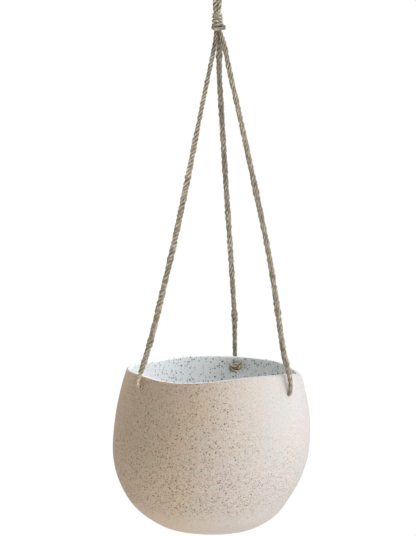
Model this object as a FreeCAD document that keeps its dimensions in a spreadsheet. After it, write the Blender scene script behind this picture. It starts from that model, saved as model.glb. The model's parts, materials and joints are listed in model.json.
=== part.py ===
# Hanging planter: a stoneware bowl on three jute cords, gathered under a binding with a loop above it.
# Millimetres, +Z up. The origin is the inside top of the hanging loop, where it rests on its hook,
# and the front is -Y. An azimuth is measured from the front, positive towards +X.
import FreeCAD
import Part
import Sketcher
import math
import os

Vector = FreeCAD.Vector

# Driving sizes: alias, number, what it measures.
SIZES = [
    ("cord_diameter", 4.8, "jute cord"),
    ("fit_gap", 0.3, "clearance between pieces that move or wind on each other"),
    ("loop_inside_radius", 10.0, "round top of the hanging loop, inside"),
    ("loop_shoulder", 36.0, "height over which the loop draws in to the neck"),
    ("loop_leg", 10.0, "straight legs of the loop above the neck"),
    ("neck_length", 20.0, "upper bend to lower bend of the neck"),
    ("strand_gap", 0.2, "between the two strands of the neck"),
    ("dome_margin", 0.2, "rounded neck ends beyond the strands"),
    ("twine_diameter", 2.4, "twine of the binding"),
    ("twine_gap", 0.45, "between turns of the binding"),
    ("binding_turns", 4.5, "turns of the binding, in half turns"),
    ("core_diameter", 5.1, "gathered cords pressed inside the binding"),
    ("hanger_drop", 307.0, "under the binding to the crests of the rim"),
    ("gather_radius", 3.2, "cords from the axis, under the binding"),
    ("gather_length", 13.0, "upright run of each cord under the binding"),
    ("belly_radius", 90.0, "outside of the pot at its widest"),
    ("belly_height", 80.0, "widest place above the base"),
    ("crest_radius", 79.0, "outside of the pot at the crests of the rim"),
    ("crest_height", 150.0, "crests of the rim above the base"),
    ("lip_trim", 1.0, "clay trimmed off above the crests"),
    ("wall_thickness", 4.4, "wall of the pot"),
    ("floor_thickness", 6.5, "floor of the pot"),
    ("base_corner", 30.0, "rounding from the base into the belly"),
    ("inside_corner", 24.0, "rounding from the floor into the wall"),
    ("dip_depth", 5.5, "rim's dips below its crests"),
    ("dip_reach", 48.0, "middle of a dip to the crest beside it"),
    ("dip_count", 3, "dips round the rim"),
    ("dip_azimuth", 96.0, "middle of the right-hand dip"),
    ("lip_round", 1.5, "rounding of the lip"),
    ("hole_clearance", 0.6, "cord hole round its cord"),
    ("hole_tilt", 14.5, "cord hole rising outwards, square to the wall"),
    ("left_azimuth", -53.0, "left cord hole"),
    ("right_azimuth", 54.0, "right cord hole"),
    ("back_azimuth", 164.5, "back cord hole"),
    ("left_hole_drop", 13.0, "left cord hole below the crests"),
    ("right_hole_drop", 18.0, "right cord hole below the crests"),
    ("back_hole_drop", 10.5, "back cord hole below the crests"),
    ("fold_reach", 5.6, "cord's fold outside its hole"),
    ("knot_strand", 3.6, "cord pulled tight in a stopper knot"),
    ("knot_gap", 0.5, "between turns of a stopper knot"),
    ("knot_turns", 1.5, "turns of a stopper knot, in half turns"),
    ("knot_seat", 0.8, "stopper knot from the wall"),
    ("tail_length", 2.5, "cord end beyond its stopper knot"),
]

# Free run of each hanging cord from the rim up to the binding, in the upright plane of its hole:
# distance from the axis and height.
HANGER_RUNS = {
    "left": [(79.0, -392.0), (65.8, -352.0), (49.2, -295.0), (32.2, -231.0), (16.6, -165.0), (8.2, -131.0)],
    "right": [(84.6, -396.0), (76.2, -360.0), (61.4, -300.0), (44.0, -235.0), (23.5, -166.0), (12.3, -131.0)],
    "back": [(80.9, -389.0), (69.6, -350.0), (53.4, -292.0), (34.6, -228.0), (16.8, -164.0), (8.4, -131.5)],
}

# Each bend of a cord takes this share of the shorter run beside it.
BEND_SHARE = 0.45
# Boolean tools reach this far past what they cut.
CUT_MARGIN = 2.0
# The lip is rounded by no more than this share of the wall.
LIP_SHARE = 0.4
# The neck's strands start this many diameters past each bend, before their ends are rounded.
STRAND_SPARE = 2
QUARTER_TURN = math.pi / 2
UP = Vector(0, 0, 1)

doc = FreeCAD.newDocument("hanging_planter")


# Spreadsheet
def make_sheet():
    """Writes each driving size to a row: its name, its number under that alias, what it measures."""
    sheet = doc.addObject("Spreadsheet::Sheet", "Sizes")
    for row, (alias, number, meaning) in enumerate(SIZES, start=1):
        sheet.set(f"A{row}", alias)
        sheet.set(f"B{row}", str(number))
        sheet.setAlias(f"B{row}", alias)
        sheet.set(f"C{row}", meaning)
    doc.recompute()
    return sheet


SHEET = make_sheet()


def size(alias):
    """The number that the sheet holds under an alias."""
    return float(SHEET.get(alias))


def bind(thing, **properties):
    """Binds an object's properties to expressions over the sheet's aliases."""
    for name, expression in properties.items():
        thing.setExpression(name, expression)


# Places that follow from the sizes
CORD_RADIUS = size("cord_diameter") / 2
STRAND_OFFSET = CORD_RADIUS + size("strand_gap") / 2
DOME_RADIUS = STRAND_OFFSET + CORD_RADIUS + size("dome_margin")
CUP_RADIUS = DOME_RADIUS + size("fit_gap")
CORE_RADIUS = size("core_diameter") / 2
LOOP_RADIUS = size("loop_inside_radius") + CORD_RADIUS
LOOP_CENTRE = -size("loop_inside_radius")
LEG_TOP = LOOP_CENTRE - size("loop_shoulder")
NECK_TOP = LEG_TOP - size("loop_leg")
NECK_BOTTOM = NECK_TOP - size("neck_length")
BINDING_TOP = NECK_BOTTOM - math.sqrt(CUP_RADIUS ** 2 - CORE_RADIUS ** 2)
BINDING_PITCH = size("twine_diameter") + size("twine_gap")
BINDING_RADIUS = CORE_RADIUS + size("fit_gap") + size("twine_diameter") / 2
BINDING_LEAD = math.atan2(BINDING_PITCH, 2 * math.pi * BINDING_RADIUS)
BINDING_START = BINDING_TOP - size("twine_diameter") * math.sin(BINDING_LEAD) - size("twine_diameter") / 2
BINDING_END = BINDING_START - size("binding_turns") * BINDING_PITCH
BINDING_BOTTOM = BINDING_END - (BINDING_TOP - BINDING_START)
CREST = BINDING_BOTTOM - size("hanger_drop")
BASE = CREST - size("crest_height")
BELLY = BASE + size("belly_height")
SHOULDER_RISE = size("crest_height") - size("belly_height")
SHOULDER_INSET = size("belly_radius") - size("crest_radius")
SHOULDER_RADIUS = (SHOULDER_RISE ** 2 + SHOULDER_INSET ** 2) / (2 * SHOULDER_INSET)


def polar(radius, azimuth, height):
    """A point by its distance from the axis, its azimuth in degrees and its height."""
    turn = math.radians(azimuth)
    return Vector(radius * math.sin(turn), -radius * math.cos(turn), height)


def shoulder(height):
    """The pot's outside radius above its widest place."""
    rise = height - BELLY
    return size("belly_radius") - SHOULDER_RADIUS + math.sqrt(SHOULDER_RADIUS ** 2 - rise ** 2)


# Tubes on straight runs and tangent arcs
def bend(start, corner, end):
    """The arc that is tangent to two equal legs, from start to corner and from corner to end."""
    middle = (start + end) * 0.5
    half_chord = (end - start).Length / 2
    depth = (corner - middle).Length
    half_turn = math.atan2(depth, half_chord)
    top = middle + (corner - middle) * (half_chord * math.tan(half_turn / 2) / depth)
    return Part.Arc(start, top, end).toShape()


def run(start, end):
    """A straight edge."""
    return Part.LineSegment(start, end).toShape()


def route_edges(points, name):
    """Straight runs between points, with each corner rounded as far as its shorter run allows."""
    edges = []
    radii = []
    at = points[0]
    for before, corner, after in zip(points, points[1:], points[2:]):
        leg = BEND_SHARE * min((corner - before).Length, (after - corner).Length)
        start = corner + (before - corner).normalize() * leg
        end = corner + (after - corner).normalize() * leg
        edges.append(run(at, start))
        edges.append(bend(start, corner, end))
        radii.append(edges[-1].Curve.Radius)
        at = end
    edges.append(run(at, points[-1]))
    print(name, "bend radii", [round(radius, 1) for radius in radii])
    return edges


def biarc_edges(start, start_way, end, end_way):
    """Two arcs, tangent where they meet, from one point and direction to another."""
    across = end - start
    ways = start_way + end_way
    spread = 2 * (1 - start_way.dot(end_way))
    along = across.dot(ways)
    leg = across.dot(across) / (along + math.sqrt(along ** 2 + spread * across.dot(across)))
    first_corner = start + start_way * leg
    second_corner = end - end_way * leg
    joint = (first_corner + second_corner) * 0.5
    return [bend(start, first_corner, joint), bend(joint, second_corner, end)]


def winding_edges(centre, axis, side, radius, pitch, turns, tail):
    """A helix on biarcs of a quarter turn, from centre along axis, with straight ends of length tail."""
    other = axis.cross(side)
    rise = pitch / (2 * math.pi)
    stations = []
    for quarter in range(round(4 * turns) + 1):
        angle = quarter * QUARTER_TURN
        out = side * math.cos(angle) + other * math.sin(angle)
        way = other * math.cos(angle) - side * math.sin(angle)
        place = centre + out * radius + axis * (rise * angle)
        stations.append((place, (way * radius + axis * rise).normalize()))
    first_place, first_way = stations[0]
    last_place, last_way = stations[-1]
    edges = [run(first_place - first_way * tail, first_place)]
    for (start, start_way), (end, end_way) in zip(stations, stations[1:]):
        edges += biarc_edges(start, start_way, end, end_way)
    edges.append(run(last_place, last_place + last_way * tail))
    return edges


def tube(edges, diameter, name):
    """A round tube along joined edges, with its volume compared with its section times its length."""
    path = Part.Wire(edges)
    start = edges[0].valueAt(edges[0].FirstParameter)
    way = edges[0].tangentAt(edges[0].FirstParameter)
    section = Part.Wire([Part.makeCircle(diameter / 2, start, way)])
    solid = path.makePipeShell([section], True, False)
    expected = math.pi * diameter ** 2 / 4 * path.Length
    print(name, "length", round(path.Length, 1), "volume share", round(solid.Volume / expected, 4))
    return solid


def print_self_gap(edges, diameter, turn_length, name):
    """Prints the least gap between places of a winding that are more than half a turn apart."""
    step = diameter / 10
    places = Part.Wire(edges).discretize(Distance=step)
    apart = int(turn_length / 2 / step)
    least = min(
        (places[one] - places[two]).Length
        for one in range(len(places))
        for two in range(one + apart, len(places))
    )
    print(name, "least gap to itself", round(least - diameter, 2))


def feature(label, shape):
    """A document object that holds a finished shape."""
    thing = doc.addObject("Part::Feature", label)
    thing.Label = label
    thing.Shape = shape
    return thing


def boolean(kind, label, base, tool):
    """A cut or a common part of two document objects."""
    thing = doc.addObject(kind, label)
    thing.Label = label
    thing.Base = base
    thing.Tool = tool
    return thing


# Sketches
def make_sketch(body, name):
    """A sketch on its body's own upright plane."""
    sketch = body.newObject("Sketcher::SketchObject", name)
    plane = next(item for item in body.Origin.OriginFeatures if item.Role == "XZ_Plane")
    sketch.AttachmentSupport = [(plane, "")]
    sketch.MapMode = "FlatFace"
    return sketch


def line(sketch, start, end):
    """Adds a line to a sketch."""
    return sketch.addGeometry(Part.LineSegment(Vector(*start), Vector(*end)), False)


def arc(sketch, start, middle, end):
    """Adds an arc through three points, which the sketch keeps anticlockwise."""
    return sketch.addGeometry(Part.Arc(Vector(*start), Vector(*middle), Vector(*end)), False)


def constrain(sketch, kind, *where, expression=None):
    """Adds a constraint, and binds it to the sheet if it has an expression."""
    index = sketch.addConstraint(Sketcher.Constraint(kind, *where))
    if expression:
        sketch.setExpression(f"Constraints[{index}]", expression)


# How a sketch numbers the places on a line or an arc, its upright axis and its origin
START, END, CENTRE = 1, 2, 3
AXIS_Y, ORIGIN = -2, (-1, 1)


# Pot
def bowl_section(body):
    """The pot's wall and floor, cut through the axis, with the clay still above the crests."""
    belly, crest = size("belly_height"), size("crest_height") + size("lip_trim")
    outer, wall = size("belly_radius"), size("wall_thickness")
    floor = size("floor_thickness")
    sketch = make_sketch(body, "bowl_section")

    def turned(centre, radius, start, end):
        circle = Part.Circle(Vector(*centre, 0), UP, radius)
        return sketch.addGeometry(Part.ArcOfCircle(circle, start, end), False)

    def rounding(bowl_radius, level, corner):
        rise = level + corner - belly
        reach = math.sqrt((bowl_radius - corner) ** 2 - rise ** 2)
        return (reach, level + corner), math.atan2(rise, reach)

    foot, foot_angle = rounding(outer, 0, size("base_corner"))
    heel, heel_angle = rounding(outer - wall, floor, size("inside_corner"))
    shoulder_centre = (outer - SHOULDER_RADIUS, belly)
    inner_shoulder = SHOULDER_RADIUS - wall
    lip_angle = math.asin((crest - belly) / SHOULDER_RADIUS)
    inner_lip_angle = math.asin((crest - belly) / inner_shoulder)
    lip_outer = (shoulder_centre[0] + SHOULDER_RADIUS * math.cos(lip_angle), crest, 0)
    lip_inner = (shoulder_centre[0] + inner_shoulder * math.cos(inner_lip_angle), crest, 0)

    base = line(sketch, (0, 0, 0), (foot[0], 0, 0))
    corner = turned(foot, size("base_corner"), -QUARTER_TURN, foot_angle)
    bowl = turned((0, belly), outer, foot_angle, 0)
    upper = turned(shoulder_centre, SHOULDER_RADIUS, 0, lip_angle)
    lip = line(sketch, lip_outer, lip_inner)
    upper_inside = turned(shoulder_centre, inner_shoulder, 0, inner_lip_angle)
    bowl_inside = turned((0, belly), outer - wall, heel_angle, 0)
    corner_inside = turned(heel, size("inside_corner"), -QUARTER_TURN, heel_angle)
    floor_top = line(sketch, (heel[0], floor, 0), (0, floor, 0))
    axis = line(sketch, (0, floor, 0), (0, 0, 0))

    constrain(sketch, "Coincident", base, START, *ORIGIN)
    constrain(sketch, "Horizontal", base)
    constrain(sketch, "Tangent", base, END, corner, START)
    constrain(sketch, "Tangent", corner, END, bowl, START)
    constrain(sketch, "Tangent", bowl, END, upper, START)
    constrain(sketch, "Coincident", upper, END, lip, START)
    constrain(sketch, "Horizontal", lip)
    constrain(sketch, "Coincident", lip, END, upper_inside, END)
    constrain(sketch, "Tangent", upper_inside, START, bowl_inside, END)
    constrain(sketch, "Tangent", bowl_inside, START, corner_inside, END)
    constrain(sketch, "Tangent", corner_inside, START, floor_top, START)
    constrain(sketch, "Horizontal", floor_top)
    constrain(sketch, "Coincident", floor_top, END, axis, START)
    constrain(sketch, "Coincident", axis, END, *ORIGIN)
    constrain(sketch, "Vertical", axis)
    constrain(sketch, "PointOnObject", bowl, CENTRE, AXIS_Y)
    constrain(sketch, "Coincident", bowl_inside, CENTRE, bowl, CENTRE)
    constrain(sketch, "Coincident", upper_inside, CENTRE, upper, CENTRE)
    constrain(sketch, "DistanceY", *ORIGIN, bowl, CENTRE, belly, expression="Sizes.belly_height")
    constrain(sketch, "DistanceY", *ORIGIN, bowl, END, belly, expression="Sizes.belly_height")
    constrain(sketch, "Radius", bowl, outer, expression="Sizes.belly_radius")
    constrain(sketch, "Radius", bowl_inside, outer - wall,
              expression="Sizes.belly_radius - Sizes.wall_thickness")
    constrain(sketch, "Radius", corner, size("base_corner"), expression="Sizes.base_corner")
    constrain(sketch, "Radius", corner_inside, size("inside_corner"), expression="Sizes.inside_corner")
    constrain(sketch, "Radius", upper, SHOULDER_RADIUS, expression=(
        "((Sizes.crest_height - Sizes.belly_height) ^ 2 + (Sizes.belly_radius - Sizes.crest_radius) ^ 2)"
        " / (2 * (Sizes.belly_radius - Sizes.crest_radius))"))
    constrain(sketch, "DistanceY", *ORIGIN, upper, END, crest,
              expression="Sizes.crest_height + Sizes.lip_trim")
    constrain(sketch, "DistanceY", *ORIGIN, floor_top, END, floor, expression="Sizes.floor_thickness")
    return sketch


def dip_section(body):
    """The clay cut away for one dip of the rim: a trough that eases into the crest at each side."""
    crest, depth, reach = size("crest_height"), size("dip_depth"), size("dip_reach")
    radius = (reach ** 2 + depth ** 2) / (4 * depth)
    half = reach / 2
    sag = radius - math.sqrt(radius ** 2 - (half / 2) ** 2)
    ease = (half + reach) / 2
    side = size("belly_radius")
    top = crest + size("lip_trim") + CUT_MARGIN
    sketch = make_sketch(body, "dip_section")
    sketch.AttachmentOffset = FreeCAD.Placement(
        Vector(), FreeCAD.Rotation(Vector(0, 1, 0), size("dip_azimuth")))
    sketch.setExpression("AttachmentOffset.Rotation.Angle", "Sizes.dip_azimuth")

    left_crest = line(sketch, (-side, crest, 0), (-reach, crest, 0))
    left_ease = arc(sketch, (-half, crest - depth / 2, 0), (-ease, crest - sag, 0), (-reach, crest, 0))
    trough = arc(sketch, (-half, crest - depth / 2, 0), (0, crest - depth, 0), (half, crest - depth / 2, 0))
    right_ease = arc(sketch, (reach, crest, 0), (ease, crest - sag, 0), (half, crest - depth / 2, 0))
    right_crest = line(sketch, (reach, crest, 0), (side, crest, 0))
    right_side = line(sketch, (side, crest, 0), (side, top, 0))
    lid = line(sketch, (side, top, 0), (-side, top, 0))
    left_side = line(sketch, (-side, top, 0), (-side, crest, 0))

    constrain(sketch, "Horizontal", left_crest)
    constrain(sketch, "Tangent", left_crest, END, left_ease, END)
    constrain(sketch, "Tangent", left_ease, START, trough, START)
    constrain(sketch, "Tangent", trough, END, right_ease, END)
    constrain(sketch, "Tangent", right_ease, START, right_crest, START)
    constrain(sketch, "Coincident", right_crest, END, right_side, START)
    constrain(sketch, "Vertical", right_side)
    constrain(sketch, "Coincident", right_side, END, lid, START)
    constrain(sketch, "Horizontal", lid)
    constrain(sketch, "Coincident", lid, END, left_side, START)
    constrain(sketch, "Vertical", left_side)
    constrain(sketch, "Coincident", left_side, END, left_crest, START)
    constrain(sketch, "PointOnObject", trough, CENTRE, AXIS_Y)
    constrain(sketch, "Equal", left_ease, trough)
    constrain(sketch, "Equal", right_ease, trough)
    constrain(sketch, "Radius", trough, radius,
              expression="(Sizes.dip_reach ^ 2 + Sizes.dip_depth ^ 2) / (4 * Sizes.dip_depth)")
    constrain(sketch, "DistanceX", left_crest, END, *ORIGIN, reach, expression="Sizes.dip_reach")
    constrain(sketch, "DistanceY", *ORIGIN, left_crest, END, crest, expression="Sizes.crest_height")
    constrain(sketch, "DistanceX", *ORIGIN, right_side, START, side, expression="Sizes.belly_radius")
    constrain(sketch, "DistanceX", left_side, START, *ORIGIN, side, expression="Sizes.belly_radius")
    constrain(sketch, "DistanceY", right_side, START, right_side, END, top - crest,
              expression=f"Sizes.lip_trim + {CUT_MARGIN}")
    return sketch


def lip_edges(shape):
    """The names of the rim's inner and outer edges, which run along the wall and not across it."""
    names = []
    for number, edge in enumerate(shape.Edges, start=1):
        middle = edge.valueAt((edge.FirstParameter + edge.LastParameter) / 2)
        depth = shoulder(middle.z + BASE) - math.hypot(middle.x, middle.y)
        beside_wall = min(abs(depth), abs(depth - size("wall_thickness"))) < size("wall_thickness") / 4
        if middle.z > size("crest_height") - size("dip_depth") - size("lip_trim") and beside_wall:
            names.append(f"Edge{number}")
    return names


def make_pot(hangers):
    """The stoneware pot: a turned bowl with a dipped, rounded rim and a hole for each cord."""
    body = doc.addObject("PartDesign::Body", "bowl_body")
    section = bowl_section(body)
    bowl = body.newObject("PartDesign::Revolution", "bowl")
    bowl.Profile = section
    bowl.ReferenceAxis = (section, ["V_Axis"])
    bowl.Angle = 360
    doc.recompute()
    dip = body.newObject("PartDesign::Pocket", "dip")
    dip.Profile = dip_section(body)
    dip.Type = "Length"
    dip.Reversed = True
    bind(dip, Length="2 * Sizes.belly_radius")
    doc.recompute()
    dips = body.newObject("PartDesign::PolarPattern", "dips")
    dips.Originals = [dip]
    dips.Axis = (section, ["V_Axis"])
    dips.Angle = 360
    bind(dips, Occurrences="Sizes.dip_count")
    body.Tip = dips
    doc.recompute()
    print("dips cut away", round(bowl.Shape.Volume - dips.Shape.Volume), "mm3")
    lip = body.newObject("PartDesign::Fillet", "lip")
    lip.Base = (dips, lip_edges(dips.Shape))
    bind(lip, Radius=f"min(Sizes.lip_round; {LIP_SHARE} * Sizes.wall_thickness)")
    body.Tip = lip
    body.Placement = FreeCAD.Placement(Vector(0, 0, BASE), FreeCAD.Rotation())
    holes = doc.addObject("Part::MultiFuse", "cord_holes")
    holes.Shapes = [hole_tool(name, hanger) for name, hanger in hangers.items()]
    return boolean("Part::Cut", "pot", body, holes)


def hole_tool(name, hanger):
    """The drill of one cord hole, through the wall along the cord."""
    tool = doc.addObject("Part::Cylinder", f"{name}_hole")
    bind(tool, Radius="Sizes.cord_diameter / 2 + Sizes.hole_clearance",
         Height=f"Sizes.wall_thickness + {2 * CUT_MARGIN}")
    inside = hanger["mouth"] - hanger["way"] * (size("wall_thickness") + CUT_MARGIN)
    tool.Placement = FreeCAD.Placement(inside, FreeCAD.Rotation(UP, hanger["way"]))
    return tool


# Cords and their stopper knots
def hanger_place(name):
    """Where a cord leaves the wall, the way it points there, and the points of its route."""
    azimuth = size(f"{name}_azimuth")
    tilt = math.radians(size("hole_tilt"))
    height = CREST - size(f"{name}_hole_drop")
    mouth = polar(shoulder(height), azimuth, height)
    way = polar(math.cos(tilt), azimuth, math.sin(tilt))
    fold = mouth + way * size("fold_reach")
    inner_end = fold - way * ((size("fold_reach") - size("fit_gap")) / BEND_SHARE)
    free_run = [polar(radius, azimuth, place) for radius, place in HANGER_RUNS[name]]
    top = BINDING_BOTTOM - size("fit_gap")
    gathered = polar(size("gather_radius"), azimuth, top - size("gather_length"))
    route = [inner_end, fold] + free_run + [gathered, polar(size("gather_radius"), azimuth, top)]
    return {"mouth": mouth, "way": way, "route": route}


def make_cord(name, hanger):
    """One hanging cord, from its knot through the wall and up to the binding."""
    label = f"{name}_cord"
    return feature(label, tube(route_edges(hanger["route"], label), size("cord_diameter"), label))


def make_knot(name, hanger):
    """A stopper knot against the inside of the wall: the cord wound round its own end."""
    label = f"{name}_knot"
    inward = hanger["way"] * -1
    strand = size("knot_strand")
    pitch = strand + size("knot_gap")
    radius = CORD_RADIUS + size("fit_gap") + strand / 2
    first = size("wall_thickness") + size("knot_seat") + strand / 2
    level = inward.cross(UP).normalize()
    edges = winding_edges(
        hanger["mouth"] + inward * first, inward, level, radius, pitch, size("knot_turns"), strand)
    winding = tube(edges, strand, label)
    print_self_gap(edges, strand, 2 * math.pi * radius, label)
    start = hanger["route"][0]
    far = first + size("knot_turns") * pitch + strand / 2 + size("tail_length")
    length = far - (hanger["mouth"] - start).Length
    tail = Part.makeCylinder(CORD_RADIUS, length, start, inward)
    return feature(label, Part.makeCompound([winding, tail]))


# Binding, neck and loop
def make_binding():
    """The twine wound round the gathered cords, from the top down."""
    twine = size("twine_diameter")
    start = Vector(0, 0, BINDING_START)
    edges = winding_edges(
        start, UP * -1, Vector(-1, 0, 0), BINDING_RADIUS, BINDING_PITCH, size("binding_turns"), twine)
    print_self_gap(edges, twine, 2 * math.pi * BINDING_RADIUS, "binding")
    return feature("binding", tube(edges, twine, "binding"))


def cup_tool(name, height):
    """The ball that hollows the cord end above or below a bend of the neck."""
    ball = doc.addObject("Part::Sphere", name)
    bind(ball, Radius="Sizes.cord_diameter + Sizes.strand_gap / 2 + Sizes.dome_margin + Sizes.fit_gap")
    ball.Placement = FreeCAD.Placement(Vector(0, 0, height), FreeCAD.Rotation())
    return ball


def make_core():
    """The gathered cords pressed together inside the binding, hollowed for the neck."""
    core = doc.addObject("Part::Cylinder", "core")
    bind(core, Radius="Sizes.core_diameter / 2")
    core.Height = BINDING_TOP - BINDING_BOTTOM + CUT_MARGIN
    core.Placement = FreeCAD.Placement(Vector(0, 0, BINDING_BOTTOM), FreeCAD.Rotation())
    return boolean("Part::Cut", "gathered_cords", core, cup_tool("lower_cup", NECK_BOTTOM))


def make_neck():
    """Two cord strands side by side, whose ends are rounded as one ball at each bend."""
    body = doc.addObject("PartDesign::Body", "neck_envelope")
    sketch = make_sketch(body, "neck_section")
    long = size("neck_length")
    slant = DOME_RADIUS * math.sqrt(0.5)
    lower = arc(sketch, (0, -DOME_RADIUS, 0), (slant, -slant, 0), (DOME_RADIUS, 0, 0))
    side = line(sketch, (DOME_RADIUS, 0, 0), (DOME_RADIUS, long, 0))
    upper = arc(sketch, (DOME_RADIUS, long, 0), (slant, long + slant, 0), (0, long + DOME_RADIUS, 0))
    axis = line(sketch, (0, long + DOME_RADIUS, 0), (0, -DOME_RADIUS, 0))
    constrain(sketch, "Tangent", lower, END, side, START)
    constrain(sketch, "Tangent", side, END, upper, START)
    constrain(sketch, "Coincident", upper, END, axis, START)
    constrain(sketch, "Coincident", axis, END, lower, START)
    constrain(sketch, "Coincident", lower, CENTRE, *ORIGIN)
    constrain(sketch, "PointOnObject", axis, START, AXIS_Y)
    constrain(sketch, "PointOnObject", axis, END, AXIS_Y)
    constrain(sketch, "Vertical", side)
    constrain(sketch, "PointOnObject", upper, CENTRE, AXIS_Y)
    constrain(sketch, "Radius", lower, DOME_RADIUS,
              expression="Sizes.cord_diameter + Sizes.strand_gap / 2 + Sizes.dome_margin")
    constrain(sketch, "DistanceY", *ORIGIN, upper, CENTRE, long, expression="Sizes.neck_length")
    envelope = body.newObject("PartDesign::Revolution", "neck_round")
    envelope.Profile = sketch
    envelope.ReferenceAxis = (sketch, ["V_Axis"])
    envelope.Angle = 360
    body.Placement = FreeCAD.Placement(Vector(0, 0, NECK_BOTTOM), FreeCAD.Rotation())
    strands = []
    for name, way in (("left", -1), ("right", 1)):
        strand = doc.addObject("Part::Cylinder", f"{name}_strand")
        bind(strand, Radius="Sizes.cord_diameter / 2",
             Height=f"Sizes.neck_length + {2 * STRAND_SPARE} * Sizes.cord_diameter")
        foot = Vector(way * STRAND_OFFSET, 0, NECK_BOTTOM - STRAND_SPARE * size("cord_diameter"))
        strand.Placement = FreeCAD.Placement(foot, FreeCAD.Rotation())
        strands.append(boolean("Part::Common", f"neck_{name}", strand, body))
    return strands


def make_loop():
    """The hanging loop: one cord up from the neck, over the hook and down again."""
    def at(across, height):
        return Vector(across, 0, height)

    top = LOOP_CENTRE + LOOP_RADIUS
    edges = [run(at(-STRAND_OFFSET, NECK_TOP), at(-STRAND_OFFSET, LEG_TOP))]
    edges += biarc_edges(at(-STRAND_OFFSET, LEG_TOP), UP, at(-LOOP_RADIUS, LOOP_CENTRE), UP)
    edges.append(bend(at(-LOOP_RADIUS, LOOP_CENTRE), at(-LOOP_RADIUS, top), at(0, top)))
    edges.append(bend(at(0, top), at(LOOP_RADIUS, top), at(LOOP_RADIUS, LOOP_CENTRE)))
    edges += biarc_edges(at(LOOP_RADIUS, LOOP_CENTRE), UP * -1, at(STRAND_OFFSET, LEG_TOP), UP * -1)
    edges.append(run(at(STRAND_OFFSET, LEG_TOP), at(STRAND_OFFSET, NECK_TOP)))
    cord = feature("loop_cord", tube(edges, size("cord_diameter"), "hanging_loop"))
    return boolean("Part::Cut", "hanging_loop", cord, cup_tool("upper_cup", NECK_TOP))


# Assembly
def make_planter():
    """Every piece of the planter, in place."""
    hangers = {name: hanger_place(name) for name in HANGER_RUNS}
    pieces = [make_pot(hangers)]
    for name, hanger in hangers.items():
        pieces.append(make_cord(name, hanger))
        pieces.append(make_knot(name, hanger))
    pieces.append(make_binding())
    pieces.append(make_core())
    pieces += make_neck()
    pieces.append(make_loop())
    doc.recompute()
    return pieces


def write_pieces(pieces):
    """Checks every object of the document and every piece, then writes each piece to its own file."""
    for thing in doc.Objects:
        if "Invalid" in thing.State or "Error" in thing.State:
            raise RuntimeError(f"{thing.Label} failed: {thing.State}")
    for piece in pieces:
        if piece.Shape.isNull() or not piece.Shape.isValid():
            raise RuntimeError(f"{piece.Label} has no valid shape")
    os.makedirs("parts", exist_ok=True)
    for piece in pieces:
        piece.Shape.exportStep(f"parts/{piece.Label}.step")
        box = piece.Shape.BoundBox
        print(piece.Label, len(piece.Shape.Solids), "solids", round(piece.Shape.Volume), "mm3",
              "from", round(box.ZMin, 2), "to", round(box.ZMax, 2))


write_pieces(make_planter())
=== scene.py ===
"""Hanging planter: a speckled stoneware bowl on three jute cords, bound together under a hanging loop.

Metres, +Z up, front -Y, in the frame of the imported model. An azimuth is measured from the front, positive
towards +X. Every visible piece is a surface worked out here, which stands for the model's own node.
"""
import json
import math

import bpy
import numpy as np
from mathutils import Matrix, Vector

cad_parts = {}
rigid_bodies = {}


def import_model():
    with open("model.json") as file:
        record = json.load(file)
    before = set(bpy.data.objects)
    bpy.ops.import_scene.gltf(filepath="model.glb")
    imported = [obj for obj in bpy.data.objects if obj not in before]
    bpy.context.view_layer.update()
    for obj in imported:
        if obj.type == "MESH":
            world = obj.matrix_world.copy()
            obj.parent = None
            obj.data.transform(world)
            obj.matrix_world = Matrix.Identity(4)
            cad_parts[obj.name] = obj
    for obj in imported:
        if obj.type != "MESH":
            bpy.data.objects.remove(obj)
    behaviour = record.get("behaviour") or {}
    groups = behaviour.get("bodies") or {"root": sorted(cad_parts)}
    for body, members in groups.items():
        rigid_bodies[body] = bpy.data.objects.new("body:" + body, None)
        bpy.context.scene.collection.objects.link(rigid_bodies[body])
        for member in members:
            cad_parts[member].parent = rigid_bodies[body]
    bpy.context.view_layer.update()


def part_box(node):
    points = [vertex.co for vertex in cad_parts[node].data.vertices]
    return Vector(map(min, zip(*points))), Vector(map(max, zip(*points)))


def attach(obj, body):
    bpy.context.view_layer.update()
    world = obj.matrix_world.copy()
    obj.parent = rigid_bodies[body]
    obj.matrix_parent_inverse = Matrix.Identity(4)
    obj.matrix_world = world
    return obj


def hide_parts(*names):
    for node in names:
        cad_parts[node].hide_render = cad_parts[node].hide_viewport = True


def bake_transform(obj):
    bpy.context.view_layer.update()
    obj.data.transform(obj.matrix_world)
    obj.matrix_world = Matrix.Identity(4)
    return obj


for leftover in list(bpy.data.objects):
    bpy.data.objects.remove(leftover)
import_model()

MM = 0.001
UP = np.array([0.0, 0.0, 1.0])

# Pot, heights above its base
POT_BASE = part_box("pot")[0].z
BELLY_RADIUS = 90 * MM
BELLY_HEIGHT = 80 * MM
CREST_RADIUS = 79 * MM
CREST_HEIGHT = 150 * MM
WALL = 4.4 * MM
FLOOR = 6.5 * MM
BASE_CORNER = 30 * MM
INSIDE_CORNER = 24 * MM
LIP_HEIGHT = 1.7 * MM
# On the right the lip falls away outwards: how far, at which azimuth and how many degrees to each side.
LIP_FALL = 2.2 * MM
LIP_FALL_AZIMUTH = 100
LIP_FALL_REACH = 55
SHOULDER_RISE = CREST_HEIGHT - BELLY_HEIGHT
SHOULDER_INSET = BELLY_RADIUS - CREST_RADIUS
SHOULDER_RADIUS = (SHOULDER_RISE ** 2 + SHOULDER_INSET ** 2) / (2 * SHOULDER_INSET)
# The hand-made wall is a little fuller than its arcs. Each swell is whole between these heights, and the
# foot's has gone at the last of them.
BELLY_FULLNESS = 1.0 * MM
BELLY_SWELL = (16 * MM, 100 * MM)
FOOT_FULLNESS = 1.2 * MM
FOOT_SWELL = (14 * MM, 16 * MM, 36 * MM)
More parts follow.
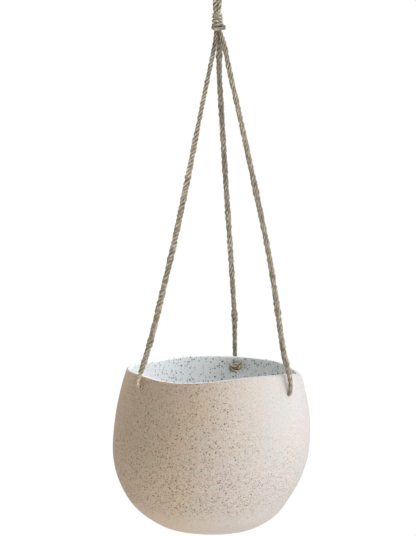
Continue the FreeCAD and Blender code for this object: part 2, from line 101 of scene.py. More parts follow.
# It leans to the left below this height and to the right above it, most at this reach from it. The lean
# sets in between the last heights.
LEAN = 1.75 * MM
LEAN_HEIGHT = 68 * MM
LEAN_REACH = 47 * MM
LEAN_START = (4 * MM, 30 * MM)
# Slow swells round the wall: how far they stand out, their spacing in radians and their seed.
ROUND_SWELLS = [(0.3 * MM, 3.4, 11), (0.2 * MM, 1.7, 12)]
# The rim's usual height, and its waves: azimuth, reach to each side in degrees, and rise in millimetres.
RIM_LEVEL = 148.5 * MM
RIM_WAVES = np.array([(38, 45, 1.9), (-26, 44, -3.9), (-88, 60, -1.8), (-139, 30, -2.4), (96, 40, -3.8)])
# Columns round the pot, and rows on a flat, a corner, the wall and the lip.
POT_COLUMNS = 300
FLAT_ROWS = 8
CORNER_ROWS = 8
WALL_ROWS = 90
LIP_ROWS = 13

# The clay's colour is painted light and shade: warm on the shaded left and cool and pale on the lit right,
# turning over this far to each side of the axis. The warm side leans: at the rim it reaches this share of
# the height further to the right than at the base.
PAINTED_LIGHT_REACH = 75 * MM
PAINTED_LIGHT_LEAN = 0.1
# The glaze starts at this row of the lip, counted from the outside.
GLAZED_LIP = 3
# A speck fades out over this width at its edge.
SPECK_SOFTNESS = 0.25 * MM
# The specks of the clay are stronger towards the base. The foot was sponged nearly clean of them, from the
# first height down to the second. An area on the right below the rim has faint specks as a painted
# highlight,
# where bright light washes them out: its middle, how far it is faintest and how far it reaches.
SPONGED_FOOT = (34 * MM, 16 * MM)
PAINTED_HIGHLIGHT_MIDDLE = (60 * MM, -60 * MM, POT_BASE + 130 * MM)
PAINTED_HIGHLIGHT_REACH = (20 * MM, 55 * MM)

# Cord holes: azimuth, and height of the hole's outer mouth. A hole is this share of its cord's width. The
# rod that cuts it reaches this many millimetres in and out from the mouth.
HOLE_FIT = 0.95
CUT_INWARDS = 9
CUT_OUTWARDS = 4
CUT_COLUMNS = 32
HOLE_TILT = math.radians(14.5)
HOLES = {"left": (-53.0, -416.52 * MM), "right": (54.0, -421.52 * MM), "back": (164.5, -414.02 * MM)}

# Cords: jute is uneven, and no two of the cords are alike in thickness and twist. Their tones differ too.
LOOP_DIAMETER = 4.8 * MM
LOOP_LAY = 15 * MM
# Lay and number of plies of each hanging cord.
HANGER_LAYS = {"left": (16 * MM, 4), "right": (24 * MM, 5), "back": (30 * MM, 5)}
# How light a cord is from its hole up: heights in millimetres and tones. The left one has a painted
# highlight, pale where it is pulled over the rim into its hole.
HANGER_TONES = {
    "left": [(-413.5, 1.9), (-405.5, 1.6), (-401.5, 0.95), (-357, 0.94), (-290, 0.83), (-225, 0.97),
             (-160, 1.1)],
    "right": [(-418.5, 0.74), (-408.5, 0.82), (-357, 0.81), (-290, 0.79), (-225, 0.79), (-160, 0.96)],
    "back": [(-411, 0.88), (-401, 0.82), (-357, 0.82), (-290, 0.9), (-225, 0.63), (-130, 0.55),
             (-114, 0.76)],
}
# A cord's width from its hole up, in millimetres: heights and widths.
HANGER_WIDTHS = {
    "left": [(-414, 3.2), (-408, 3.4), (-403, 4.7), (-396, 5.3), (-376, 5.5), (-366, 5.9), (-350, 5.6),
             (-225, 5.7), (-200, 5.0), (-175, 4.3), (-92, 4.2)],
    "right": [(-419, 3.5), (-413, 4.0), (-407, 4.5), (-396, 5.2), (-345, 5.4), (-300, 5.1), (-270, 5.1),
              (-240, 5.6), (-190, 5.0), (-92, 4.8)],
    "back": [(-412, 4.4), (-394, 4.4), (-388, 4.9), (-376, 4.7), (-365, 6.0), (-355, 4.9), (-300, 5.3),
             (-130, 5.2), (-108, 6.0)],
}
# Bumps in a hanging cord's width: their share of it, their spacing and the step of their seed.
HANGER_BUMPS = [(0.09, 37 * MM, 0), (0.12, 11 * MM, 5), (0.1, 5 * MM, 8)]
# The binding squeezes the hanging cords by this share, between these heights.
SQUEEZE = 0.3
SQUEEZE_HEIGHTS = (-109 * MM, -94 * MM)
# Steps along the long cords, and along the knots, the twine and the bundle.
CORD_STEP = 0.7 * MM
FINE_STEP = 0.5 * MM
# Plies are this many times as wide as plies that only touch. In a hanging cord that changes with the
# height, given in millimetres.
PRESSED = 1.12
HANGER_PRESSED = {
    "left": [(-390, 1.14), (-330, 1.18), (-270, 1.1), (-190, 1.06), (-130, 1.0)],
    "right": [(-400, 1.3), (-330, 1.24), (-250, 1.14), (-130, 1.03)],
    "back": [(-390, 1.26), (-300, 1.14), (-180, 1.12), (-130, 1.2)],
}
# How dark the painted shade in the grooves between the plies is, as a power of how far a point stands out:
# heights and powers.
HANGER_PAINTED_GROOVE_SHADE = {
    "left": [(-370, 1.0), (-290, 1.3), (-190, 1.7), (-130, 2.3)],
    "right": [(-370, 0.7), (-250, 1.0), (-130, 1.3)],
    "back": [(-370, 1.0), (-290, 1.2), (-180, 1.2), (-130, 1.0)],
}
# A ply's angle wanders by these radians and its width by this share, each over so many lays. The points
# round it crowd outwards by this many radians.
PLY_SWERVE = 0.6
PLY_SWERVE_LAYS = 1.9
PLY_SWELL = 0.13
PLY_SWELL_LAYS = 0.8
PLY_CROWDING = 0.35
# The fibres of a ply slant by this much of its length. A stray fibre, really 0.03 mm in radius, is drawn
# wider so that it shows. Its length and how far its end stands off lie between these millimetres.
FIBRE_SLANT = 0.3
STRAY_RADIUS = 0.08 * MM
STRAY_LENGTHS = (3, 10)
STRAY_LIFTS = (0.2, 1.5)
HANGER_STRAYS = 150
# Routes of the hanging cords in the upright planes of their holes: millimetres from the axis, to the right
# of the plane as seen from the axis, and up.
HANGER_ROUTES = {
    "left": [(74.6, 0, -418.1), (84.0, 0, -416.9), (82.5, 0, -410.5), (79.4, 0, -403), (76.1, 0, -394.8),
             (69.2, 0, -376), (62.2, 0, -352), (46.2, 0, -295), (30.4, 0, -231), (15.7, 0, -165),
             (7.3, 0, -131), (2.7, 0, -112), (1.4, 0, -102), (0.9, 0, -94)],
    "right": [(78.5, 0, -423.4), (87.4, 0, -421.9), (87.8, 0, -415), (86.6, 0, -405), (83.6, 0, -395.5),
              (79.4, 0, -386), (73.2, 0, -352), (62.7, 0, -300), (44.6, 0, -235), (24.8, 0, -166),
              (14.9, 0, -134), (9.8, 0, -113), (5.1, 0, -101), (2.3, 0, -95)],
    "back": [(76.6, 0, -415.6), (87.6, -0.2, -412.6), (84.6, -0.3, -401), (81.0, 0.4, -388),
             (75.6, 1.5, -369.5), (69.8, 1.6, -350), (53.4, 1.2, -292), (34.8, 0.6, -228),
             (17.0, 0.3, -164), (9.0, 0, -131.5), (5.2, 1.2, -113), (2.8, 1.8, -101), (1.4, 0.8, -94.5)],
}


def linear(colour):
    """A colour's sRGB hex value as linear red, green, blue and alpha."""
    parts = np.array([int(colour[at:at + 2], 16) for at in (1, 3, 5)]) / 255
    values = np.where(parts <= 0.04045, parts / 12.92, ((parts + 0.055) / 1.055) ** 2.4)
    return (*values.tolist(), 1.0)


def fill(tree, node, inputs):
    """Gives a node its inputs, which are values or other nodes' outputs by socket."""
    for socket, value in inputs.items():
        if isinstance(value, bpy.types.NodeSocket):
            tree.links.new(value, node.inputs[socket])
        else:
            node.inputs[socket].default_value = value


def add(tree, kind, inputs=None, **settings):
    """Adds a node with its inputs. Settings are its properties."""
    made = tree.nodes.new(kind)
    for name, value in settings.items():
        setattr(made, name, value)
    fill(tree, made, inputs or {})
    return made


def set_stops(ramp, stops):
    """Gives a colour ramp its stops, which are places and colours from its lower end to its upper end."""
    for place, _ in stops[1:-1]:
        ramp.elements.new(place)
    for element, (place, colour) in zip(ramp.elements, stops):
        element.position = place
        element.color = linear(colour)


# Shapes
def wander(distance, spacing, seed):
    """A smooth line of bumps about zero: the mean of three sines with wavelengths near the spacing."""
    phases = np.random.default_rng(seed).uniform(0, 2 * np.pi, 3)
    wavelengths = spacing * np.array([1.0, 1.37, 0.71])
    return np.sin(2 * np.pi * np.asarray(distance)[..., None] / wavelengths + phases).mean(axis=-1)


def unit(vectors):
    """Vectors divided by their lengths."""
    return vectors / np.linalg.norm(vectors, axis=-1, keepdims=True)


def ease(value, low, high):
    """0 below low, 1 above high, and a smooth step between them."""
    share = np.clip((value - low) / (high - low), 0, 1)
    return share * share * (3 - 2 * share)


def polar(radius, azimuth, height):
    """A point by its distance from the axis, its azimuth in degrees and its height."""
    turn = np.radians(azimuth)
    return np.stack(np.broadcast_arrays(radius * np.sin(turn), -radius * np.cos(turn), height), axis=-1)


def make_piece(name, points, faces, materials, uv=None, values=None):
    """A mesh object: uv has one row for each corner of each face, and values are numbers on the points."""
    mesh = bpy.data.meshes.new(name)
    mesh.from_pydata(points.tolist(), [], faces)
    mesh.shade_smooth()
    if uv is not None:
        mesh.uv_layers.new(name="UVMap").uv.foreach_set("vector", uv.astype(np.float32).ravel())
    for label, numbers in (values or {}).items():
        mesh.attributes.new(label, "FLOAT", "POINT").data.foreach_set("value", numbers.astype(np.float32))
    for material in materials:
        mesh.materials.append(material)
    piece = bpy.data.objects.new(name, mesh)
    bpy.context.scene.collection.objects.link(piece)
    return piece


def route(points):
    """Points read from a smooth spline that has the given points as its control points."""
    curve = bpy.data.curves.new("route", "CURVE")
    curve.dimensions = "3D"
    spline = curve.splines.new("NURBS")
    spline.points.add(len(points) - 1)
    spline.points.foreach_set("co", np.column_stack([points, np.ones(len(points))]).ravel())
    spline.order_u = 3
    spline.use_endpoint_u = True
    spline.resolution_u = 24
    holder = bpy.data.objects.new("route", curve)
    mesh = bpy.data.meshes.new_from_object(holder)
    read = np.empty(3 * len(mesh.vertices), np.float32)
    mesh.vertices.foreach_get("co", read)
    bpy.data.objects.remove(holder)
    bpy.data.curves.remove(curve)
    bpy.data.meshes.remove(mesh)
    return read.reshape(-1, 3).astype(float)


def even_steps(points, step):
    """A line's points at even steps along it, and how far along it each one is."""
    reach = np.concatenate([[0], np.cumsum(np.linalg.norm(np.diff(points, axis=0), axis=1))])
    distance = np.linspace(0, reach[-1], round(reach[-1] / step) + 1)
    line = np.column_stack([np.interp(distance, reach, points[:, axis]) for axis in range(3)])
    return line, distance


def carried_frame(line, first_side):
    """Two directions across a line at each of its points, carried on without a twist: each step takes the
    last side and drops the share of it that lies along the line."""
    along = unit(np.gradient(line, axis=0))
    sides = []
    side = np.asarray(first_side, float)
    for way in along:
        side = side - way * (side @ way)
        side = side / np.linalg.norm(side)
        sides.append(side)
    sides = np.array(sides)
    return sides, np.cross(along, sides)


def laid_plies(line, distance, first_side, diameter, lay, plies, seed, sides=12, pressed=PRESSED):
    """Plies laid together along a line, as rings by ply, station and place round the ply.

    The middle of ply k goes round the line at angle 2 pi (distance / lay + k / plies), which slopes as a
    right-handed rope does. Round the middle, the ply is a circle across its own direction, wider than plies
    that only touch, because soft plies press into each other. The circle's points are closer together on
    its outer side. Its width and its angle wander a little, and its ends are rounded off.
    """
    touching = diameter / 2 / (1 + 1 / math.sin(math.pi / plies))
    ply_radius = pressed * touching
    number = np.arange(plies)[:, None]
    side, other = carried_frame(line, first_side)
    swerve = PLY_SWERVE * wander(distance, PLY_SWERVE_LAYS * lay, seed)
    turn = 2 * np.pi * (distance / lay + number / plies) + swerve
    swells = [wander(distance, PLY_SWELL_LAYS * lay, seed + 1 + k) for k in range(plies)]
    fat = 1 + PLY_SWELL * np.stack(swells)
    out = np.cos(turn)[..., None] * side + np.sin(turn)[..., None] * other
    middle = line + out * (diameter / 2 - ply_radius)[:, None]
    way = unit(np.gradient(middle, axis=1))
    across = np.cross(way, out)
    to_end = np.minimum(distance, distance[-1] - distance) / ply_radius.mean()
    closing = np.sqrt(1 - (1 - np.clip(to_end, 0.01, 1)) ** 2)
    step = np.linspace(-np.pi, np.pi, sides, endpoint=False)
    angle = step - PLY_CROWDING * np.sin(step)
    ring = np.cos(angle)[:, None] * out[..., None, :] + np.sin(angle)[:, None] * across[..., None, :]
    return middle[..., None, :] + (ply_radius * fat * closing)[..., None, None] * ring


def stray_fibres(line, distance, first_side, diameter, count, seed):
    """Loose fibre ends that stand off a cord, as rings by fibre, station and place round the fibre.

    A fibre starts just under the cord's surface and runs along it, either way. Its distance from the line
    grows by its own lift times the square of the share of its length, and it turns a little about the line.
    """
    chance = np.random.default_rng(seed)
    share = np.linspace(0, 1, 6)
    root = chance.uniform(0.02, 0.98, (count, 1)) * distance[-1]
    reach = chance.uniform(*STRAY_LENGTHS, (count, 1)) * chance.choice([-1, 1], (count, 1)) * MM
    lift = chance.uniform(*STRAY_LIFTS, (count, 1)) * MM
    place = np.clip(root + reach * share, 0, distance[-1])
    turn = chance.uniform(0, 2 * np.pi, (count, 1)) + chance.uniform(-0.9, 0.9, (count, 1)) * share
    side, other = carried_frame(line, first_side)

    def along_line(vectors):
        return np.stack([np.interp(place, distance, vectors[:, axis]) for axis in range(3)], axis=-1)

    out = unit(np.cos(turn)[..., None] * along_line(side) + np.sin(turn)[..., None] * along_line(other))
    radius = 0.46 * np.interp(place, distance, diameter) + lift * share ** 2
    middle = along_line(line) + radius[..., None] * out
    across = np.cross(unit(np.gradient(middle, axis=1)), out)
    angle = np.linspace(0, 2 * np.pi, 3, endpoint=False)[:, None]
    ring = np.cos(angle) * out[..., None, :] + np.sin(angle) * across[..., None, :]
    return middle[..., None, :] + (STRAY_RADIUS * (1 - 0.6 * share))[:, None, None] * ring


def tube_faces(rings, distance):
    """The faces of tubes that are given as rings by tube, station and place round, and the UV of the faces'
    corners: how far round and along its tube a corner is, in metres. Tubes lie a metre apart in the UV, so
    that no two show the same fibres, and the fibres slant."""
    count, stations, sides = rings.shape[:3]
    places = np.arange(count), np.arange(stations - 1), np.arange(sides)
    tube, row, column = np.meshgrid(*places, indexing="ij")
    rows = np.stack([row, row, row + 1, row + 1], axis=-1)
    columns = np.stack([column, column + 1, column + 1, column], axis=-1)
    numbers = (tube[..., None] * stations + rows) * sides + columns % sides
    width = np.linalg.norm(rings[0, stations // 2, 0] - rings[0, stations // 2, 1])
    along = distance[rows]
    uv = np.stack([tube[..., None] + columns * width + FIBRE_SLANT * along, along], axis=-1)
    ends = np.stack([np.arange(sides)[::-1], (stations - 1) * sides + np.arange(sides)])
    ends = ends + (np.arange(count) * stations * sides)[:, None, None]
    faces = [*numbers.reshape(-1, 4).tolist(), *ends.reshape(-1, sides).tolist()]
    return faces, np.concatenate([uv.reshape(-1, 2), np.zeros((ends.size, 2))])


def rope_piece(name, plies, line, distance, diameter, material, tone, strays=None, painted_groove_shade=None,
               cut_end=False):
    """A mesh of laid plies and stray fibres. Its value height is how far a point stands out from the line,
    as a share of the cord's radius, raised to a power where one is given, which sets how dark the painted
    shade in the grooves is. Its value tone is how light the cord is there. A cut end shows its pale fibres,
    so it counts as standing out."""
    height = np.linalg.norm(plies - line[:, None, :], axis=-1) / (diameter / 2)[:, None]
    if painted_groove_shade is not None:
        height = height ** painted_groove_shade[:, None]
    if cut_end:
        height = np.maximum(height, (1 - (distance[-1] - distance) / (0.4 * diameter))[:, None])
    tones = np.broadcast_to(tone[:, None], height.shape)
    faces, uv = tube_faces(plies, distance)
    points = plies.reshape(-1, 3)
    values = {"height": height.ravel(), "tone": tones.ravel()}
    if strays is not None:
        stray_faces, stray_uv = tube_faces(strays, np.linspace(0, 1, strays.shape[1]) * MM)
        faces = faces + [[corner + len(points) for corner in face] for face in stray_faces]
        points = np.concatenate([points, strays.reshape(-1, 3)])
        uv = np.concatenate([uv, stray_uv])
        plain = np.ones(strays.size // 3)
        values = {label: np.concatenate([numbers, plain]) for label, numbers in values.items()}
    return make_piece(name, points, faces, [material], uv, values)


# Materials
def finish_material(name):
    """A new material, its node tree and its shader."""
    material = bpy.data.materials.new(name)
    material.use_nodes = True
    tree = material.node_tree
    return material, tree, tree.nodes["Principled BSDF"]


def speck_layer(tree, place, ground, colour, spacing, sizes, share, iron_and_painted_light):
    """Specks over a ground colour: one round speck near the middle of each cell of a scatter, as wide as
    the cell's own number says, in the share of the cells that have one. Sizes are the smallest and largest
    radius. The last factor makes all the specks fainter where it is below 1: partly the body's own sparser
    specks, partly painted light where bright light washes them out. Returns the colour and the specks."""
    scatter = add(tree, "ShaderNodeTexVoronoi", {"Vector": place, "Scale": 1 / spacing, "Randomness": 0.8})
    number = add(tree, "ShaderNodeSeparateColor", {"Color": scatter.outputs["Color"]})
    radius = add(tree, "ShaderNodeMapRange", {
        "Value": number.outputs["Red"], "To Min": sizes[0] / spacing, "To Max": sizes[1] / spacing})
    inside = add(tree, "ShaderNodeMath", {0: radius.outputs["Result"], 1: scatter.outputs["Distance"]},
                 operation="SUBTRACT")
    cover = add(tree, "ShaderNodeMath", {0: inside.outputs["Value"], 1: SPECK_SOFTNESS / spacing},
                operation="DIVIDE", use_clamp=True)
    present = add(tree, "ShaderNodeMath", {0: number.outputs["Blue"], 1: share}, operation="LESS_THAN")
    strength = add(tree, "ShaderNodeMapRange", {"Value": number.outputs["Green"], "To Min": 0.5})
    specks = cover.outputs["Value"]
    for factor in (present.outputs["Value"], strength.outputs["Result"], iron_and_painted_light):
        specks = add(tree, "ShaderNodeMath", {0: specks, 1: factor}, operation="MULTIPLY").outputs["Value"]
    mixed = add(tree, "ShaderNodeMix", {"Factor": specks, "A": ground, "B": linear(colour)},
                data_type="RGBA")
    return mixed.outputs["Result"], specks


def make_clay():
    """Unglazed speckled stoneware, smoothed with a rib before firing: a matt, chalky beige skin with dark
    oxide specks and a fine grain. Its colour has painted shade on the left, which is warmer and more
    specked, and painted light on the right, which is paler, cooler and less specked."""
    material, tree, shader = finish_material("unglazed_stoneware")
    place = add(tree, "ShaderNodeTexCoord").outputs["Object"]
    axes = add(tree, "ShaderNodeSeparateXYZ", {"Vector": place})
    # Painted light and shade: a gradient from the shaded left to the lit right, along a line that leans
    # with the height.
    edge = add(tree, "ShaderNodeMath", {0: axes.outputs["Z"], 1: -PAINTED_LIGHT_LEAN, 2: axes.outputs["X"]},
               operation="MULTIPLY_ADD")
    middle = -PAINTED_LIGHT_LEAN * (POT_BASE + CREST_HEIGHT / 2)
    painted_light_gradient = add(tree, "ShaderNodeMapRange", {
        "Value": edge.outputs["Value"], "From Min": middle + PAINTED_LIGHT_REACH, "From Max": middle - PAINTED_LIGHT_REACH},
        interpolation_type="SMOOTHSTEP")
    cloud = add(tree, "ShaderNodeTexNoise", {"Vector": place, "Scale": 1 / (38 * MM), "Detail": 3.0})
    tone_and_painted_light = add(tree, "ShaderNodeMath", {0: cloud.outputs["Fac"], 1: 0.5, 2: painted_light_gradient.outputs["Result"]},
               operation="MULTIPLY_ADD")
    # The ramp's cool pale end is painted light on the right and its warm end painted shade on the left; the
    # noise between them is the clay's own uneven tone.
    tone = add(tree, "ShaderNodeValToRGB", {"Fac": tone_and_painted_light.outputs["Value"]})
    set_stops(tone.color_ramp, [(0.15, "#C9C5C4"), (0.78, "#D4C8BB"), (1.0, "#D7C5B0")])
    crest = POT_BASE + CREST_HEIGHT
    clean_from, clean_to = (POT_BASE + height for height in SPONGED_FOOT)
    depth = add(tree, "ShaderNodeMapRange", {
        "Value": axes.outputs["Z"], "From Min": crest, "From Max": POT_BASE, "To Max": 0.35})
    # Painted light: the specks fade where the gradient is pale on the lit right, as if washed out by bright
    # light, and grow stronger lower down.
    painted_light_and_depth = add(tree, "ShaderNodeMath", {0: tone_and_painted_light.outputs["Value"], 1: depth.outputs["Result"]},
                operation="ADD")
    iron_and_painted_light = add(tree, "ShaderNodeMapRange", {
        "Value": painted_light_and_depth.outputs["Value"], "From Min": 0.35, "From Max": 0.78, "To Min": 0.4})
    settled = add(tree, "ShaderNodeMapRange", {
        "Value": axes.outputs["Z"], "From Min": crest, "From Max": clean_from,
        "To Min": 0.74, "To Max": 1.3})
    foot = add(tree, "ShaderNodeMapRange", {
        "Value": axes.outputs["Z"], "From Min": clean_to, "From Max": clean_from, "To Min": 0.2})
    # Painted highlight: the specks fade in an area on the upper right, where the light is brightest.
    away = add(tree, "ShaderNodeVectorMath", {0: place, 1: PAINTED_HIGHLIGHT_MIDDLE}, operation="DISTANCE")
    painted_highlight = add(tree, "ShaderNodeMapRange", {
        "Value": away.outputs["Value"], "From Min": PAINTED_HIGHLIGHT_REACH[0], "From Max": PAINTED_HIGHLIGHT_REACH[1],
        "To Min": 0.35})
    iron_and_painted_light = iron_and_painted_light.outputs["Result"]
    for share in (settled, foot, painted_highlight):
        iron_and_painted_light = add(tree, "ShaderNodeMath", {0: iron_and_painted_light, 1: share.outputs["Result"]},
                   operation="MULTIPLY").outputs["Value"]
    blush = add(tree, "ShaderNodeTexNoise", {"Vector": place, "Scale": 1 / (9 * MM), "Detail": 2.0})
    fired = add(tree, "ShaderNodeValToRGB", {"Fac": blush.outputs["Fac"]})
    set_stops(fired.color_ramp, [(0.35, "#FAFCF8"), (0.65, "#FFFAF8")])
    # Sand grains under 0.5 mm across are drawn 1.2 mm apart, so that they show.
    sand = add(tree, "ShaderNodeTexNoise", {"Vector": place, "Scale": 1 / (1.2 * MM), "Detail": 3.0})
    grit = add(tree, "ShaderNodeMapRange", {
        "Value": sand.outputs["Fac"], "From Min": 0.32, "From Max": 0.68, "To Min": 0.9, "To Max": 1.1})
    ground = tone.outputs["Color"]
    for tint in (fired.outputs["Color"], grit.outputs["Result"]):
        ground = add(tree, "ShaderNodeMix", {"Factor": 1.0, "A": ground, "B": tint},
                     data_type="RGBA", blend_type="MULTIPLY").outputs["Result"]
    dust, _ = speck_layer(tree, place, ground, "#8E6B4E", 0.95 * MM, (0.22 * MM, 0.48 * MM), 0.95, iron_and_painted_light)
    rust, _ = speck_layer(tree, place, dust, "#8A5B42", 3.2 * MM, (0.35 * MM, 0.85 * MM), 0.6, iron_and_painted_light)
    fine, _ = speck_layer(tree, place, rust, "#68452C", 1.45 * MM, (0.28 * MM, 0.6 * MM), 0.85, iron_and_painted_light)
    colour, specks = speck_layer(tree, place, fine, "#4E331F", 2.5 * MM, (0.4 * MM, 0.85 * MM), 0.7, iron_and_painted_light)
    grain = add(tree, "ShaderNodeTexNoise", {"Vector": place, "Scale": 1 / (0.9 * MM), "Detail": 2.0})
    relief = add(tree, "ShaderNodeMath", {0: grain.outputs["Fac"], 1: specks}, operation="SUBTRACT")
    bump = add(tree, "ShaderNodeBump", {
        "Height": relief.outputs["Value"], "Strength": 0.35, "Distance": 0.06 * MM})
    rough = add(tree, "ShaderNodeMapRange", {"Value": grain.outputs["Fac"], "To Min": 0.72, "To Max": 0.92})
    fill(tree, shader, {
        "Base Color": colour, "Roughness": rough.outputs["Result"], "Normal": bump.outputs["Normal"],
        "IOR": 1.5, "Specular IOR Level": 0.3})
    return material


def make_glaze():
    """White stoneware glaze, poured inside and wiped off at the lip: a cool satin white, a little wavy,
    with bold black specks where oxides in the clay bleed through. It has painted shade on the right, which
    is darker and greener, and painted light on the left, where its specks are fainter."""
    material, tree, shader = finish_material("white_speckled_glaze")
    place = add(tree, "ShaderNodeTexCoord").outputs["Object"]
    axes = add(tree, "ShaderNodeSeparateXYZ", {"Vector": place})
    # Painted light and shade: bright on the lit left, darker and greener on the shaded right.
    painted_light_gradient = add(tree, "ShaderNodeMapRange", {
        "Value": axes.outputs["X"], "From Min": 75 * MM, "From Max": -60 * MM})
    cloud = add(tree, "ShaderNodeTexNoise", {"Vector": place, "Scale": 1 / (30 * MM), "Detail": 2.0})
    tone_and_painted_light = add(tree, "ShaderNodeMath", {0: cloud.outputs["Fac"], 1: 0.3, 2: painted_light_gradient.outputs["Result"]},
               operation="MULTIPLY_ADD")
    tone = add(tree, "ShaderNodeValToRGB", {"Fac": tone_and_painted_light.outputs["Value"]})
    set_stops(tone.color_ramp, [(0.2, "#E2E6E2"), (1.0, "#FCFEFF")])
    # Painted light: the specks fade towards the brightly lit left.
    iron_and_painted_light = add(tree, "ShaderNodeMapRange", {
        "Value": painted_light_gradient.outputs["Result"], "From Min": 0.78, "To Min": 1.0, "To Max": 0.5})
    iron_and_painted_light = iron_and_painted_light.outputs["Result"]
    fine_sizes, bold_sizes = (0.2 * MM, 0.5 * MM), (0.35 * MM, 1.1 * MM)
    colour, _ = speck_layer(tree, place, tone.outputs["Color"], "#5F6162", 1.7 * MM, fine_sizes, 0.75, iron_and_painted_light)
    colour, specks = speck_layer(tree, place, colour, "#1B1A19", 2.2 * MM, bold_sizes, 0.78, iron_and_painted_light)
    wave = add(tree, "ShaderNodeTexNoise", {"Vector": place, "Scale": 1 / (5 * MM), "Detail": 1.0})
    relief = add(tree, "ShaderNodeMath", {0: wave.outputs["Fac"], 1: specks}, operation="SUBTRACT")
    bump = add(tree, "ShaderNodeBump", {
        "Height": relief.outputs["Value"], "Strength": 0.3, "Distance": 0.1 * MM})
    rough = add(tree, "ShaderNodeMapRange", {"Value": specks, "To Min": 0.32, "To Max": 0.55})
    fill(tree, shader, {
        "Base Color": colour, "Roughness": rough.outputs["Result"], "Normal": bump.outputs["Normal"],
        "IOR": 1.52})
    return material


def make_jute(name, dark, middle, light):
    """Natural jute, spun and laid: dull straw to grey-brown fibres along each ply, with pale streaks where
    fibres lie flat, and painted shade that darkens the grooves between the plies."""
    material, tree, shader = finish_material(name)
    place = add(tree, "ShaderNodeTexCoord").outputs["UV"]
    # Fibres 0.1 mm wide are drawn 0.4 mm wide and 4 mm long, so that they show.
    stretch = add(tree, "ShaderNodeMapping", {"Vector": place, "Scale": (1 / (0.4 * MM), 1 / (4 * MM), 1)})
    fibres = add(tree, "ShaderNodeTexNoise", {
        "Vector": stretch.outputs["Vector"], "Scale": 1.0, "Detail": 3.0, "Roughness": 0.6})
    patches = add(tree, "ShaderNodeTexNoise", {"Vector": place, "Scale": 1 / (3 * MM), "Detail": 3.0})
    blend = add(tree, "ShaderNodeMath", {0: fibres.outputs["Fac"], 1: patches.outputs["Fac"]},
                operation="ADD")
    half = add(tree, "ShaderNodeMath", {0: blend.outputs["Value"], 1: 0.5}, operation="MULTIPLY")
    tone = add(tree, "ShaderNodeValToRGB", {"Fac": half.outputs["Value"]})
    set_stops(tone.color_ramp, [(0.37, dark), (0.5, middle), (0.64, light)])
    height = add(tree, "ShaderNodeAttribute", attribute_name="height")
    # Painted shade: the colour darkens where a point lies low in the grooves between the plies.
    painted_groove_shade = add(tree, "ShaderNodeMapRange", {
        "Value": height.outputs["Fac"], "From Min": 0.68, "From Max": 0.96, "To Min": 0.22, "To Max": 1.06})
    lightness = add(tree, "ShaderNodeAttribute", attribute_name="tone")
    shade = add(tree, "ShaderNodeMath", {0: painted_groove_shade.outputs["Result"], 1: lightness.outputs["Fac"]},
                operation="MULTIPLY")
    shaded = add(tree, "ShaderNodeMix", {
        "Factor": 1.0, "A": tone.outputs["Color"], "B": shade.outputs["Value"]},
        data_type="RGBA", blend_type="MULTIPLY")
    bump = add(tree, "ShaderNodeBump", {
        "Height": fibres.outputs["Fac"], "Strength": 0.6, "Distance": 0.25 * MM})
    fill(tree, shader, {
        "Base Color": shaded.outputs["Result"], "Normal": bump.outputs["Normal"],
        "Roughness": 0.85, "Specular IOR Level": 0.25, "Sheen Weight": 0.2})
    return material


CLAY = make_clay()
GLAZE = make_glaze()
# The knots have more contrast than the cords, in a warmer straw, and the twine is paler.
CORD_JUTE = make_jute("jute_cord", "#64563F", "#A69B85", "#E1DAC9")
KNOT_JUTE = make_jute("jute_knot", "#544731", "#A8997C", "#EBE1CA")
TWINE_JUTE = make_jute("jute_twine", "#6A5A42", "#B0A68F", "#E6DFCE")


# Pot
def fullness(height):
    """How much fuller than its arcs the wall is: a swell up to the shoulder, and one above the base."""
    full_from, full_to = BELLY_SWELL
    belly = BELLY_FULLNESS * ease(height, 0, full_from) * (1 - ease(height, full_to, CREST_HEIGHT))
    full_from, full_to, gone = FOOT_SWELL
    foot = FOOT_FULLNESS * ease(height, 0, full_from) * (1 - ease(height, full_to, gone))
    return belly + foot


def lean(height):
    """How far to the right of the axis the middle of the pot is at a height: none at the base, a little to
    the left below the belly, and as much to the right at the shoulder and the rim."""
    swing = np.sin(np.pi / 2 * np.clip((height - LEAN_HEIGHT) / LEAN_REACH, -1, 1))
    return LEAN * swing * ease(height, *LEAN_START)


def wall_radius(height, depth=0.0):
    """The wall's radius at a depth in from its outside: an arc about the middle of the belly below it, a
    flatter one above it, and the fullness."""
    rise = height - BELLY_HEIGHT
    bowl = np.sqrt(np.maximum((BELLY_RADIUS - depth) ** 2 - rise ** 2, 0))
    shoulder = BELLY_RADIUS - SHOULDER_RADIUS + np.sqrt((SHOULDER_RADIUS - depth) ** 2 - rise ** 2)
    return np.where(rise < 0, bowl, shoulder) + fullness(height)


def rim_height(azimuth):
    """The rim's height: its usual height and its waves. A wave is one swing of a cosine over its reach."""
    middle, reach, rise = RIM_WAVES.T
    turn = (np.degrees(azimuth)[..., None] - middle + 180) % 360 - 180
    wave = 0.5 + 0.5 * np.cos(np.pi * np.clip(np.abs(turn) / reach, 0, 1))
    return RIM_LEVEL + (wave * rise).sum(axis=-1) * MM


def corner_arc(bowl_radius, level, corner):
    """Radius and height along the rounding from a flat floor into a bowl's arc, from the floor up."""
    rise = level + corner - BELLY_HEIGHT
    middle = math.sqrt((bowl_radius - corner) ** 2 - rise ** 2)
    angle = np.linspace(-np.pi / 2, math.atan2(rise, middle), CORNER_ROWS)
    height = level + corner + corner * np.sin(angle)
    return middle + corner * np.cos(angle) + fullness(height), height


